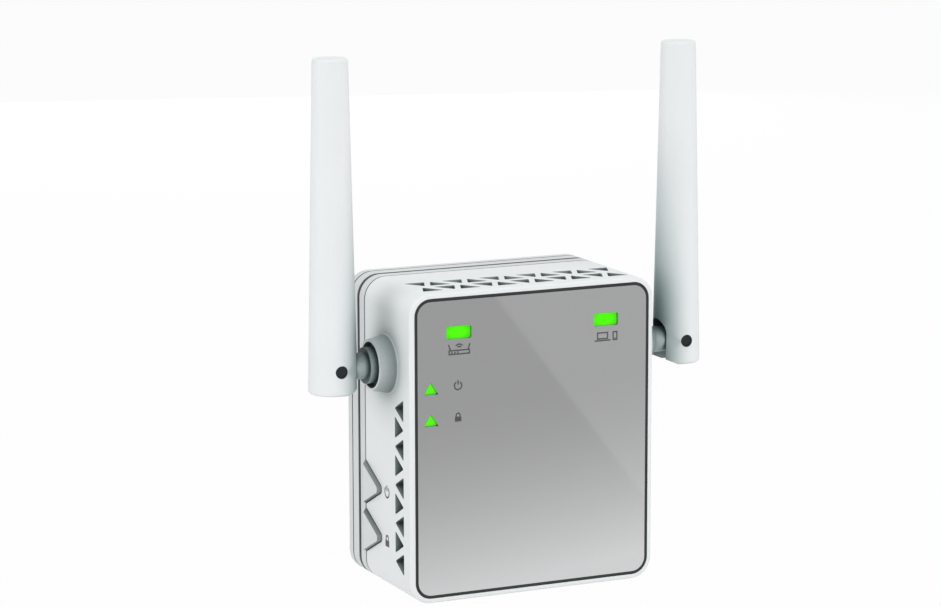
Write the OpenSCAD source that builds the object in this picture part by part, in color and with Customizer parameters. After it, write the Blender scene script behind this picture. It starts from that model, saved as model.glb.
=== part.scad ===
// Plug-in wireless range extender with two folding antennas.
// Origin in the middle of the wall face: X runs right seen from the front, Y into the wall, Z up.
// Depths are counted from the wall face towards the front. All sizes are in millimetres.

/* [Case] */
// Width seen from the front
case_w = 57.5; // [55:0.5:72]
// Height seen from the front
case_h = 67; // [65:0.5:90]
// Depth from the wall face to the front face
case_d = 34.5; // [33.5:0.5:44]
// Corner radius seen from the front
corner_r = 4.8; // [4:0.1:7.5]
// Thickness of the outer walls
wall = 1.8; // [1.6:0.1:2.1]
// Rounding of the outer front edge
edge_r = 0.7; // [0.3:0.1:0.9]
// Rounding of the outer rear edge
rear_edge_r = 1.2; // [0.4:0.1:1.6]

/* [Case layers] */
// Depth of the rear cover's rim
cover_d = 6.4; // [5.6:0.1:7.2]
// Thickness of the rear cover's back
back_t = 2; // [1.8:0.1:2.4]
// Depth of the fine line round the rear cover's rim
line_d = 3.2; // [2.8:0.1:4.4]
// Width of that line
line_w = 0.45; // [0.2:0.05:0.7]
// How deep that line is cut
line_cut = 0.25; // [0.1:0.05:0.5]
// Width of the shadow groove in front of the rear cover
groove_w = 1.2; // [0.6:0.1:1.4]
// Width of the middle frame's band
band_w = 2.6; // [2.4:0.1:3.6]
// Width of the seam in front of the band
seam_w = 0.4; // [0.15:0.05:0.5]
// Length of the tongues that join the case layers
tongue_l = 1.6; // [1.2:0.1:1.9]
// Clearance round the tongues
tongue_gap = 0.1; // [0.05:0.05:0.2]

/* [Front panel] */
// Width of the pale border round the panel
border = 1.1; // [0.9:0.05:1.4]
// Width of the dark gasket round the panel
gasket_w = 0.65; // [0.4:0.05:1]
// Thickness of the panel
panel_t = 1.4; // [1:0.1:2]
// Thickness of the wall behind the panel
front_t = 1.5; // [1.2:0.1:2]
// Clearance round the panel and the gasket
panel_gap = 0.03; // [0.02:0.01:0.1]
// How far the gasket lies below the panel's face
gasket_sunk = 0.15; // [0.05:0.05:0.3]

/* [Indicator lamps] */
// Width of a rectangular lamp window
lamp_w = 5.7; // [4:0.1:7]
// Height of a rectangular lamp window
lamp_h = 2.65; // [2:0.05:3.5]
// Corner radius of a rectangular lamp window
lamp_r = 0.45; // [0.2:0.05:0.9]
// Distance of the rectangular lamps from the case sides
lamp_in = 11.4; // [10.5:0.1:13]
// Distance of the rectangular lamps below the case top
lamp_down = 8.8; // [8:0.1:12]
// Base of a triangular lamp window
sign_base = 3.05; // [2.4:0.05:3.6]
// Height of a triangular lamp window
sign_h = 2.45; // [2:0.05:3]
// Distance of the triangular lamps from the left side
sign_in = 4.9; // [4.6:0.1:8]
// Distance of the upper triangle's base below the case top
sign_down = 21.6; // [19:0.1:24]
// Step from the upper to the lower triangular lamp
sign_step = 6.8; // [5:0.1:9]
// How far the lamp windows lie below the panel's face
lens_sunk = 0.8; // [0.1:0.05:1]
// Clearance round the lamp windows
lens_gap = 0.06; // [0.03:0.01:0.15]
// Width of the lip that holds a window behind the front wall
lens_lip = 0.5; // [0.3:0.1:0.8]
// Thickness of that lip
lens_lip_t = 0.6; // [0.4:0.1:1]

/* [Vents] */
// Base of a vent triangle
vent_base = 4.8; // [3:0.1:5]
// Height of a vent triangle in the top and bottom rows
top_vent_h = 4.3; // [3:0.1:4.4]
// How far the tips of those triangles lean to the side
top_vent_lean = 0.65; // [0:0.05:0.9]
// Height of a vent triangle in the side columns
side_vent_h = 4.5; // [3:0.05:4.7]
// How far a vent triangle's corners are cut back along its sides
vent_ease = 0.3; // [0.1:0.05:0.6]
// Step between the triangles of the top and bottom rows
top_vent_step = 4.37; // [4:0.01:4.6]
// Number of triangles in a top row
top_vents = 11; // [3:2:11]
// Step between the triangles of the side columns
side_vent_step = 4.18; // [3.8:0.01:4.4]
// Number of triangles in a side column
side_vents = 9; // [3:2:9]
// Distance of the front top row behind the front face
top_vent_front = 3.1; // [3:0.1:3.6]
// Distance between the two top rows
vent_row_gap = 1.7; // [1.2:0.1:3]
// Distance of the side columns behind the front face
side_vent_front = 3.6; // [3.4:0.1:4.6]
// Distance of the side columns' middle above the case bottom
side_vent_up = 24.8; // [22:0.1:27]

/* [Side keys] */
// Length of a key along the seam
key_base = 9.6; // [8:0.1:9.6]
// Height of a key from the seam to its tip
key_h = 9.8; // [7.5:0.1:10]
// Radius of a key's tip
key_tip_r = 0.9; // [0.5:0.1:1.4]
// Gap between a key and its notch
key_gap = 0.25; // [0.15:0.05:0.45]
// Gap between a key and the middle frame
key_base_gap = 0.08; // [0.05:0.01:0.2]
// Length over which a key rises from the middle frame
key_ramp = 1.2; // [1:0.1:4]
// How far a key stands out of the case side
key_proud = 1.1; // [0.85:0.05:1.4]
// Travel of a key
key_travel = 0.8; // [0.4:0.1:0.8]
// Distance between the two keys
key_pitch = 10.7; // [10.6:0.1:12]
// Distance of the lower key's middle above the case bottom
key_up = 11.4; // [11:0.1:12]
// Width of the lip that holds a key behind the wall
key_lip = 0.7; // [0.4:0.1:0.9]
// Thickness of that lip
key_lip_t = 0.8; // [0.6:0.1:1.2]
// Gap between that lip and the wall
key_lip_gap = 0.05; // [0.03:0.01:0.15]

/* [Switches] */
// Side of a switch body
switch_s = 4.4; // [3.6:0.1:4.8]
// Height of a switch body
switch_h = 3; // [2.6:0.1:3.6]
// Radius of a switch stem
stem_r = 0.9; // [0.6:0.05:1.2]
// Clearance round a switch stem
stem_gap = 0.08; // [0.05:0.01:0.15]
// Length of a stem inside its switch at rest
stem_in = 1; // [0.8:0.1:1.2]
// Distance of the side switches in front of the middle frame
switch_ahead = 3.6; // [3.2:0.1:4]
// Thickness of the switch board
switch_board_t = 1; // [0.8:0.1:1.4]
// Distance of the reset switch left of the middle
reset_x = 13.5; // [12.5:0.1:15]
// Space between the bottom wall and the reset switch
reset_space = 2.2; // [2:0.1:2.8]
// How far the reset stem stands out of its switch
reset_stem_out = 1.2; // [0.9:0.1:1.6]
// Travel of the reset stem
reset_travel = 0.5; // [0.3:0.1:0.8]
// Radius of the reset pinhole
pinhole_r = 0.8; // [0.5:0.1:1.2]

/* [Antenna bosses] */
// Distance of the swivel axis behind the front face
boss_front = 12.5; // [12.3:0.1:13.5]
// Distance of the swivel axis below the case top
boss_down = 16.7; // [15.5:0.1:17.5]
// How far a boss stands out of the case side
boss_l = 3.75; // [3:0.05:4.5]
// Radius of a boss at its foot
boss_foot_r = 6.25; // [5:0.05:6.5]
// Radius of a boss at its end
boss_end_r = 5.5; // [4.8:0.05:5.6]
// Fillet between a boss and the case side
boss_fillet = 0.25; // [0.2:0.05:1.4]
// Thickness of the rim round the boss's recess
rim_t = 0.55; // [0.3:0.05:1]
// Depth of that recess
recess_d = 1.6; // [0.8:0.1:1.8]

/* [Swivels] */
// Radius of the swivel shaft and neck
shaft_r = 2.85; // [2.5:0.05:2.95]
// Running clearance of the shaft in its boss
run_gap = 0.06; // [0.03:0.01:0.1]
// Radius of the swivel's hub
hub_r = 3.9; // [3.3:0.05:4.4]
// How far the hub stands out of its recess
hub_proud = 1.4; // [0.1:0.05:1.6]
// Axial play of the hub and of the clip
axial_gap = 0.1; // [0.05:0.01:0.2]
// Length of the shaft inside the wall
shaft_in = 2.4; // [2:0.1:3]
// Thickness of the retaining clip
clip_t = 0.7; // [0.5:0.1:1]
// Outer radius of the retaining clip
clip_r = 4; // [3.6:0.1:4.2]
// Depth of the clip's groove in the shaft
clip_groove = 0.5; // [0.3:0.05:0.7]
// Mouth of the retaining clip
clip_mouth = 3; // [2:0.1:3.6]
// Radius of the lead's passage through the swivel
lead_bore_r = 0.9; // [0.75:0.05:1.1]
// Radius of the antenna lead
lead_r = 0.6; // [0.45:0.05:0.65]

/* [Antennas] */
// Distance of the hinge pins from the case side
pin_out = 12.3; // [12:0.1:15]
// Length of an antenna
antenna_l = 71; // [55:1:95]
// Distance of the foot below the hinge pins
foot_below = 5.2; // [4.6:0.1:5.6]
// Radius of an antenna at its foot
foot_r = 5.27; // [5.15:0.01:5.6]
// Radius of an antenna at its tip
tip_r = 3.82; // [3.4:0.01:4.4]
// Rounding of an antenna's tip
tip_round = 0.6; // [0.4:0.1:1.6]
// Chamfer round an antenna's foot
foot_chamfer = 0.35; // [0.1:0.05:0.6]
// Distance from the antenna's axis to the slanted toe of its foot
toe_in = 1.8; // [1.2:0.1:2.4]
// Height to which the slanted toe rises
toe_up = 1.5; // [1:0.1:1.8]
// Clearance between the neck and the slot in the foot
slot_gap = 0.3; // [0.15:0.05:0.35]
// Height of the slot above the hinge pins
slot_up = 4.65; // [4.4:0.05:5.5]
// Clearance of the slot past the neck's round end
slot_past = 0.45; // [0.3:0.05:0.7]
// Radius of the bore that holds the radiator
antenna_bore_r = 1.9; // [1.5:0.05:2.2]
// Wall left above that bore
tip_wall = 3; // [2:0.1:5]
// Radius of a hinge pin
pin_r = 1.35; // [0.7:0.05:1.4]
// Running clearance of the hinge pins in the neck
pin_gap = 0.05; // [0.03:0.01:0.1]
// Clearance of the hinge pins in the antenna's foot
pin_seat_gap = 0.02; // [0.01:0.01:0.05]
// How far the hinge pins lie below the antenna's surface
pin_sunk = 0.55; // [0.3:0.05:0.9]
// Free space between the two hinge pins, for the lead
pin_apart = 2.3; // [2:0.1:2.8]
// Length of the radiator's sleeve
sleeve_l = 22; // [15:1:24]
// Length of the radiator's rod
radiator_l = 20; // [8:1:24]
// Radius of the radiator's rod
radiator_r = 0.8; // [0.5:0.05:1.2]
// Clearance round the radiator's sleeve
sleeve_gap = 0.05; // [0.03:0.01:0.1]
// Space between the slot and the radiator
sleeve_up = 3; // [2:0.5:6]

/* [Plug] */
// Distance of the plug below the case top
plug_down = 19.5; // [18:0.5:20.5]
// Distance between the two blades
blade_pitch = 12.7; // [12:0.1:14]
// Width of a blade
blade_w = 6.3; // [5.5:0.1:7]
// Thickness of a blade
blade_t = 1.5; // [1.2:0.1:1.8]
// Length of a blade outside the wall face
blade_l = 16.5; // [15:0.5:18.5]
// Length of a blade's tapered tip
blade_tip = 1.6; // [1:0.1:2.4]
// Radius of the hole in a blade
blade_hole_r = 1.6; // [1.2:0.1:1.8]
// Distance of that hole from the wall face
blade_hole_out = 11.7; // [10.5:0.1:12]
// Width of a blade's tail
tail_w = 3; // [2:0.1:4]
// Width of the carrier's face
carrier_w = 20; // [18:0.5:21]
// Height of the carrier's face
carrier_h = 10.5; // [9:0.5:12]
// Width of the carrier's shoulder inside the back
carrier_step = 1.8; // [1:0.1:2.2]
// Clearance round the carrier and the blades
plug_gap = 0.08; // [0.04:0.01:0.15]

/* [Boards] */
// Thickness of the main board
board_t = 1.2; // [0.8:0.1:1.6]
// Space between the main board and the front wall
standoff_l = 2.9; // [2.6:0.1:3.4]
// Radius of the standoffs
standoff_r = 2; // [1.7:0.1:2.4]
// Space round the boards
board_gap = 0.8; // [0.5:0.1:1]
// Distance of the supply board from the wall face
supply_d = 10.6; // [10:0.1:11]
// Thickness of the supply board
supply_t = 1.6; // [1.2:0.1:1.8]

/* [Chips] */
// Side of the processor
processor_s = 12; // [10:0.5:13]
// Thickness of the processor
processor_t = 1.4; // [0.8:0.1:2]
// Width of the memory chip
memory_w = 8; // [6:0.5:8.5]
// Height of the memory chip
memory_h = 6; // [4:0.5:7]
// Thickness of the memory chip
memory_t = 1.2; // [0.8:0.1:1.8]
// Width of the radio shield
shield_w = 22; // [18:0.5:23]
// Height of the radio shield
shield_h = 17; // [14:0.5:17.5]
// Thickness of the radio shield
shield_t = 2; // [1.4:0.1:3]
// Width of the network transformer block
magnetics_w = 7; // [6:0.5:8]
// Height of the network transformer block
magnetics_h = 12.5; // [10:0.5:13]
// Thickness of the network transformer block
magnetics_t = 3; // [2:0.1:4]
// Width of the crystal
crystal_w = 3.2; // [2.5:0.1:4]
// Height of the crystal
crystal_h = 2.5; // [2:0.1:3.2]
// Thickness of the crystal
crystal_t = 0.9; // [0.6:0.1:1.2]
// Side of a light-emitting chip
chip_s = 1; // [0.8:0.1:1.4]
// Height of a light-emitting chip
chip_h = 0.8; // [0.5:0.1:1]
// Radius of an antenna connector
antenna_plug_r = 1.5; // [1.2:0.1:1.7]
// Height of an antenna connector
antenna_plug_h = 1.4; // [1.3:0.1:1.8]

/* [Supply components] */
// Width of the transformer core
core_w = 14; // [12:0.5:17]
// Length of the transformer core
core_l = 6; // [5:0.5:7]
// Height of the transformer core
core_h = 9; // [8:0.5:12]
// Thickness of the core's legs
core_leg = 2.5; // [1.8:0.1:3]
// Thickness of the core's yokes
core_yoke = 1.8; // [1.4:0.1:2.2]
// How far the winding bulges out of the core
winding_bulge = 3; // [2:0.1:3.5]
// Radius of a bulk capacitor
bulk_r = 3.5; // [3:0.1:4.2]
// Length of a bulk capacitor
bulk_l = 10; // [8:0.5:12]
// Radius of the output capacitor
output_r = 3; // [2.5:0.05:3.5]
// Length of the output capacitor
output_l = 9; // [7:0.5:12]
// Radius of the fuse
fuse_r = 1.7; // [1.2:0.1:2]
// Length of the fuse
fuse_l = 8; // [6:0.5:8]
// Width of the rectifier
rectifier_w = 6; // [4:0.5:6.5]
// Height of the rectifier
rectifier_h = 5; // [4:0.5:6]
// Thickness of the rectifier
rectifier_t = 2.4; // [1.6:0.1:3]
// Radius of the choke
choke_r = 2.5; // [2:0.1:3.2]
// Length of the choke
choke_l = 6; // [4:0.5:9]
// Radius of the surge suppressor
disc_r = 2.8; // [2:0.1:3]
// Thickness of the surge suppressor
disc_t = 2.2; // [1.5:0.1:2.6]
// Number of pins between the two boards
pin_count = 4; // [2:1:5]
// Step between those pins
pin_step = 2.54; // [2:0.02:2.6]
// Side of such a pin
pin_side = 0.64; // [0.5:0.02:0.8]
// Side of the pin header
header_s = 2.5; // [2:0.1:2.8]
// Height of the pin socket on the main board
strip_h = 6; // [5:0.5:8.5]

/* [Fasteners] */
// Radius of the screw posts
post_r = 2.4; // [2.2:0.1:2.5]
// Space between a post and the walls
post_gap = 1; // [0.8:0.1:1.2]
// Depth at which the rear and front posts meet
post_meet = 11; // [9:0.1:13]
// Radius of a case screw
screw_r = 1.1; // [0.9:0.05:1.3]
// Radius of a case screw's head
head_r = 1.9; // [1.6:0.1:2]
// Height of a case screw's head
head_h = 1.2; // [0.8:0.1:1.4]
// Length of a case screw in the front post
screw_grip = 8; // [5:0.5:12]
// Radius of a board screw
board_screw_r = 0.8; // [0.6:0.05:1]
// Radius of a board screw's head
board_head_r = 1.7; // [1.4:0.1:1.9]
// Height of a board screw's head
board_head_h = 0.9; // [0.6:0.1:1]
// Length of a board screw in its standoff
board_grip = 2.2; // [1.6:0.1:2.4]
// Clearance round the screws
screw_gap = 0.03; // [0.02:0.01:0.06]
// Wall left under a case screw's head in the rear cover
head_floor = 0.5; // [0.4:0.1:0.6]

/* [Ethernet socket] */
// Width of the socket
socket_w = 15.9; // [14:0.1:17]
// Depth of the socket from its board
socket_t = 13.4; // [12:0.1:14]
// Length of the socket
socket_l = 15; // [13.5:0.5:15.5]
// How far the socket's mouth lies inside the case bottom
socket_sunk = 0.4; // [0.1:0.1:1]
// Width of the plug's cavity
cavity_w = 11.8; // [11:0.1:12.4]
// Depth of the plug's cavity across the socket
cavity_t = 7; // [6.4:0.1:7.6]
// Length of the plug's cavity
cavity_l = 12; // [10:0.5:12.5]
// Width of the latch keyway
latch_w = 6.2; // [5:0.1:7]
// Depth of the latch keyway
latch_t = 2.2; // [1.4:0.1:2.6]
// Wall between the cavity and the board side of the socket
cavity_wall = 1.6; // [1.2:0.1:2]
// Clearance of the socket in its opening
socket_gap = 0.25; // [0.15:0.05:0.4]
// Step between the contacts
contact_step = 1.02; // [0.95:0.01:1.1]
// Width of a contact
contact_w = 0.45; // [0.3:0.05:0.6]

/* [Hidden] */
$fn = 64;
white = [0.9, 0.91, 0.91];
silver = [0.62, 0.63, 0.64];
charcoal = [0.16, 0.17, 0.18];
lamp_green = [0.3, 1, 0.1];
board_green = [0.1, 0.36, 0.2];
chip_black = [0.1, 0.1, 0.11];
bright_metal = [0.75, 0.75, 0.73];
brass_tone = [0.8, 0.66, 0.32];
ferrite = [0.22, 0.21, 0.21];
tape_yellow = [0.93, 0.8, 0.25];
cap_blue = [0.15, 0.25, 0.5];
lead_grey = [0.35, 0.36, 0.37];

// Passes a cut beyond the faces that it opens
over = 1;
// Roots a raised feature in the wall that carries it, and passes a wall's cut inside it
root = 0.4;
// How far a key's round tip swells past its slanted sides, so that the two cross
tip_swell = 0.01;
// Length of a cut through an outer wall
wall_cut = root + wall + over;

side_x = case_w / 2;
top_z = case_h / 2;
inner_x = side_x - wall;
inner_z = top_z - wall;
band_start = cover_d + groove_w;
band_end = band_start + band_w;
front_start = band_end + seam_w;
seat_d = case_d - panel_t;
front_in = seat_d - front_t;
board_front = front_in - standoff_l;
board_rear = board_front - board_t;
supply_front = supply_d + supply_t;

lamp_x = side_x - lamp_in;
lamp_z = top_z - lamp_down;
sign_x = -side_x + sign_in;
sign_z = [top_z - sign_down, top_z - sign_down - sign_step];
chip_air = 0.3;
lens_back = board_front + chip_h + chip_air;

side_vent_z = -top_z + side_vent_up;
side_vent_d = case_d - side_vent_front - side_vent_h;
front_row_d = case_d - top_vent_front - top_vent_h;
rear_row_d = front_row_d - vent_row_gap - top_vent_h;
socket_solid = socket_w / 2 + vent_base / 2 + over;

lower_key_z = -top_z + key_up;
key_z = [lower_key_z + key_pitch, lower_key_z];
key_start = band_end + key_base_gap;
key_half_angle = atan(key_base / 2 / key_h);
key_in_x = inner_x - key_lip_gap - key_lip_t;
key_lip_room = 0.5;
key_lip_start = front_start - key_start + tongue_l + key_lip_room;
switch_air = 0.25;
switch_x = key_in_x - key_travel - switch_air;
switch_d = key_start + switch_ahead;
switch_board_x = switch_x - switch_h;
switch_edge = 0.6;
reset_d = board_rear - switch_s / 2;
reset_z = -inner_z + reset_space;
stem_floor = 0.2;

boss_d = case_d - boss_front;
boss_z = top_z - boss_down;
boss_end_x = side_x + boss_l;
pin_x = side_x + pin_out;
shaft_end_x = inner_x - shaft_in;
clip_x = inner_x - axial_gap - clip_t;
groove_play = 0.05;
slot_w = 2 * (shaft_r + slot_gap);
foot_z = boss_z - foot_below;
antenna_top = foot_z + antenna_l;
sleeve_z = boss_z + slot_up + sleeve_up;
feed_z = boss_z + shaft_r + slot_past;

plug_z = top_z - plug_down;
carrier_end = supply_d;
tail_out = 0.8;
tail_end = supply_front + tail_out;

post_x = inner_x - post_gap - post_r;
post_z = inner_z - post_gap - post_r;
post_air = 0.1;
head_d = back_t - head_floor;
hole_gap = 4 * screw_gap;
pilot_spare = 0.5;
post_pilot = screw_grip + pilot_spare;
board_pilot = board_grip + pilot_spare;
post_clear = 0.5;

// Space between neighbouring parts on a board
part_gap = 1;
// The socket, the processor and the link between the boards follow each other upwards from the case bottom
socket_z = -top_z + socket_sunk;
processor_z = socket_z + socket_l + part_gap + processor_s / 2;
link_x = 2;
link_z = processor_z + processor_s / 2 + part_gap + header_s / 2;
link_edge = 2;

supply_half_w = post_x - post_r - post_clear;
supply_top = inner_z - board_gap;
supply_h = supply_top - link_z + link_edge;
supply_mid = supply_top - supply_h / 2;
supply_boss_in = 3;
supply_bosses = [for (sx = [-1, 1], sz = [-1, 1])
    [sx * (supply_half_w - supply_boss_in), supply_mid + sz * (supply_h / 2 - supply_boss_in)]];
board_half_w = inner_x - board_gap;
board_half_h = inner_z - board_gap;
standoff_in = 3;
standoff_below = 1;
top_standoff_x = 9;
low_standoff_x = 14.5;
top_standoff = [top_standoff_x, board_half_h - standoff_in];
low_standoff = [low_standoff_x, link_z - standoff_below];
standoffs = [for (sx = [-1, 1], p = [top_standoff, low_standoff]) [sx * p[0], p[1]]];

socket_rear = board_rear - socket_t;
cavity_front = board_rear - cavity_wall;
cavity_rear = cavity_front - cavity_t;
contact_count = 8;
contact_t = 0.4;
contact_l = 7;
contact_rise = 1.6;

lead_air = 0.08;
antenna_plug_in = 13.25;
antenna_plug_up = 5;
antenna_plug_x = side_x - antenna_plug_in;
antenna_plug_z = boss_z + antenna_plug_up;
lead_start = antenna_plug_x + antenna_plug_r + lead_air;
lead_start_d = board_rear - antenna_plug_h / 2;
lead_sides = 8;
lead_steps = 14;
lead_bend = 3.4;
lead_straight = 1;
lead_before_pins = 1.2;
lead_curve_end = shaft_end_x - lead_straight;
lead_end_x = pin_x - pin_r - pin_gap - lead_before_pins;
lead_route = [
    [lead_start, -lead_start_d, antenna_plug_z],
    [lead_start + lead_bend, -lead_start_d, antenna_plug_z],
    [lead_curve_end - lead_bend, -boss_d, boss_z],
    [lead_curve_end, -boss_d, boss_z]
];
lead_points = concat([for (i = [0 : lead_steps]) on_curve(lead_route, i / lead_steps)],
                     [[lead_end_x, -boss_d, boss_z]]);

// Places on the main board, as x and z of the middle
processor_x = -2;
shield_x = 2;
processor_at = [processor_x, processor_z];
memory_at = [processor_x + processor_s / 2 + part_gap + memory_w / 2, processor_z];
crystal_at = [processor_x - processor_s / 2 - part_gap - crystal_w / 2, processor_z];
shield_at = [shield_x, link_z + header_s / 2 + part_gap + shield_h / 2];
magnetics_side = 3;
magnetics_at = [socket_w / 2 + magnetics_side + magnetics_w / 2,
                processor_z - memory_h / 2 - part_gap - magnetics_h / 2];

// Places on the supply board: the transformer in the middle, smaller parts below the upper screws
supply_right = supply_half_w - part_gap;
below_screws = supply_top - supply_boss_in - board_head_r - part_gap;
core_at = [0, supply_top - part_gap - winding_bulge - core_l / 2];
choke_at = [0, core_at[1] - core_l / 2 - winding_bulge - part_gap - choke_r];
bulk_x = -(core_w / 2 + supply_half_w) / 2;
bulk_at = [for (k = [0, 1]) [bulk_x, below_screws - bulk_r - k * (2 * bulk_r + part_gap)]];
fuse_at = [supply_right - fuse_l / 2, below_screws - fuse_r];
rectifier_at = [supply_right - rectifier_w / 2, fuse_at[1] - fuse_r - part_gap - rectifier_h / 2];
disc_at = [supply_right - disc_t / 2, rectifier_at[1] - rectifier_h / 2 - part_gap - disc_r];
output_at = [disc_at[0] - disc_t / 2 - part_gap - output_r, disc_at[1]];
winding_air = 0.2;
strip_floor = 1;

// A point at share t of a cubic curve with four control points
function on_curve(p, t) = pow(1 - t, 3) * p[0] + 3 * pow(1 - t, 2) * t * p[1]
    + 3 * (1 - t) * t * t * p[2] + t * t * t * p[3];

// The direction of a route at its point i
function heading(route, i) =
    let (step = route[min(i + 1, len(route) - 1)] - route[max(i - 1, 0)]) step / norm(step);

// The point at a distance from one point on the way to another
function on_way(from, to, distance) = from + distance * (to - from) / norm(to - from);

// How much a triangle grows when all its sides move out by a gap
function growth(base, height, gap) =
    1 + gap * (base + 2 * sqrt(base * base / 4 + height * height)) / (base * height);

// Frames: local Z towards the front, out of the right side, or out of the left side
module facing_front() rotate([90, 0, 0]) children();
module right_side() rotate([0, 0, 180]) rotate([0, -90, 0]) children();
module left_side() mirror([1, 0, 0]) right_side() children();

// Frame seen from above: local Y is the depth
module seen_from_above() mirror([0, 1, 0]) children();

module both_sides() {
    right_side() children();
    left_side() children();
}

// A box centred on x and z, from depth d on
module block(x, d, z, w, t, h) translate([x - w / 2, -d - t, z - h / 2]) cube([w, t, h]);

// Round bars along the depth, along X and along Z
module bar_d(x, d, z, r, l) translate([x, -d, z]) rotate([90, 0, 0]) cylinder(r = r, h = l);
module bar_x(x, d, z, r, l) translate([x, -d, z]) rotate([0, 90, 0]) cylinder(r = r, h = l);
module bar_z(x, d, z, r, l) translate([x, -d, z]) cylinder(r = r, h = l);

module rounded(w, h, r) {
    square([w - 2 * r, h], center = true);
    square([w, h - 2 * r], center = true);
    for (sx = [-1, 1], sy = [-1, 1])
        translate([sx * (w / 2 - r), sy * (h / 2 - r)]) circle(r);
}

// The case outline seen from the front, moved inwards
module outline(inset) rounded(case_w - 2 * inset, case_h - 2 * inset, corner_r - inset);

// A plate with the case outline between two depths
module slab(inset, from, to) translate([0, 0, from]) linear_extrude(to - from) outline(inset);

// Sweeps a profile round the case outline: its x runs outward and its y is the depth
module around_case() {
    half_w = side_x - corner_r;
    half_h = top_z - corner_r;
    for (side = [[0, half_w, half_h], [90, half_h, half_w], [180, half_w, half_h], [270, half_h, half_w]])
        rotate([0, 0, side[0]]) {
            translate([side[1], side[2], 0])
                rotate_extrude(angle = 90) translate([corner_r, 0]) children();
            translate([side[1] + corner_r, side[2], 0])
                rotate([90, 0, 0]) linear_extrude(2 * side[2]) children();
        }
}

// What is cut away to round an outer edge of radius r at y = 0, with the solid below it
module edge_cut(r) difference() {
    translate([-r, -r]) square([r + over, r + over]);
    translate([-r, -r]) circle(r);
}

module triangle(base, height) polygon([[-base / 2, 0], [base / 2, 0], [0, height]]);

// A vent triangle with its tip moved by lean and its corners cut back
module vent(height, lean) {
    corners = [[-vent_base / 2, 0], [vent_base / 2, 0], [lean, height]];
    polygon([for (k = [0 : 2], next = [2, 1]) on_way(corners[k], corners[(k + next) % 3], vent_ease)]);
}

// A row of vents pointing to the front and to the rear in turn, with a middle stretch left solid
module vent_row(count, step, height, lean, first_forward, solid_half) {
    for (k = [0 : count - 1]) {
        x = (k - (count - 1) / 2) * step;
        if (abs(x) >= solid_half)
            translate([x, height / 2]) rotate((k % 2 == 0) == first_forward ? 0 : 180)
                translate([0, -height / 2]) vent(height, lean);
    }
}

// A key's outline with its base on the seam, grown by a gap on its slanted sides
module key_outline(gap, tail) {
    base = key_base + 2 * gap / cos(key_half_angle);
    height = key_h + gap / sin(key_half_angle);
    r = key_tip_r + gap;
    centre_y = height - r / sin(key_half_angle);
    touch = [r * cos(key_half_angle), centre_y + r * sin(key_half_angle)];
    right = [[base / 2, -tail], [base / 2, 0], touch];
    left = [[-touch[0], touch[1]], [-base / 2, 0], [-base / 2, -tail]];
    polygon(concat(right, left));
    translate([0, centre_y]) circle(r + tip_swell);
}

module lamp_outline(grow) rounded(lamp_w + 2 * grow, lamp_h + 2 * grow, lamp_r + grow);

module sign_outline(grow) {
    k = growth(sign_base, sign_h, grow);
    translate([0, -grow]) triangle(sign_base * k, sign_h * k);
}

// Places a shape at each of the four lamp windows
module at_lamps(grow) {
    for (sx = [-1, 1]) translate([sx * lamp_x, lamp_z]) lamp_outline(grow);
    for (z = sign_z) translate([sign_x, z]) sign_outline(grow);
}

// The profile of an antenna boss: a fillet, a short cylinder and a slight taper
module boss_profile() {
    foot = [[0, -root], [boss_foot_r, -root], [boss_foot_r, boss_fillet]];
    polygon(concat(foot, [[boss_end_r, boss_l], [0, boss_l]]));
    difference() {
        translate([boss_foot_r - root, -root]) square([boss_fillet + root, boss_fillet + root]);
        translate([boss_foot_r + boss_fillet, boss_fillet]) circle(boss_fillet);
    }
}

module rear_cover() color(white) difference() {
    union() {
        facing_front() difference() {
            union() {
                slab(0, 0, cover_d);
                slab(wall / 2 + tongue_gap, root, band_start + tongue_l);
            }
            slab(wall, back_t, band_start + tongue_l + over);
        }
        for (sx = [-1, 1], sz = [-1, 1])
            bar_d(sx * post_x, back_t - root, sz * post_z, post_r, post_meet - post_air - back_t + root);
        for (p = supply_bosses)
            bar_d(p[0], back_t - root, p[1], standoff_r, supply_d - back_t + root);
    }
    facing_front() around_case() {
        mirror([0, 1]) edge_cut(rear_edge_r);
        translate([-line_cut, line_d - line_w / 2]) square([line_cut + over, line_w]);
    }
    for (sx = [-1, 1], sz = [-1, 1]) {
        bar_d(sx * post_x, -over, sz * post_z, screw_r + hole_gap, post_meet + 2 * over);
        bar_d(sx * post_x, -over, sz * post_z, head_r + hole_gap, head_d + over);
    }
    for (p = supply_bosses)
        bar_d(p[0], supply_d - board_pilot, p[1], board_screw_r + screw_gap, board_pilot + over);
    block(0, -over, plug_z, carrier_w + 2 * plug_gap, back_t + 2 * over, carrier_h + 2 * plug_gap);
}

module mid_frame() color(white) difference() {
    facing_front() difference() {
        union() {
            slab(0, band_start, band_end);
            slab(wall / 2 + tongue_gap, band_end - root, front_start + tongue_l);
        }
        slab(wall, band_start - over, front_start + tongue_l + over);
        slab(wall / 2, band_start - over, band_start + tongue_l + tongue_gap);
    }
    // Window behind the keys
    translate([-side_x - over, -front_start - tongue_l - over, lower_key_z - key_base / 2 - over])
        cube([2 * over + wall, front_start - band_end + tongue_l + over, key_pitch + key_base + 2 * over]);
}

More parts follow.
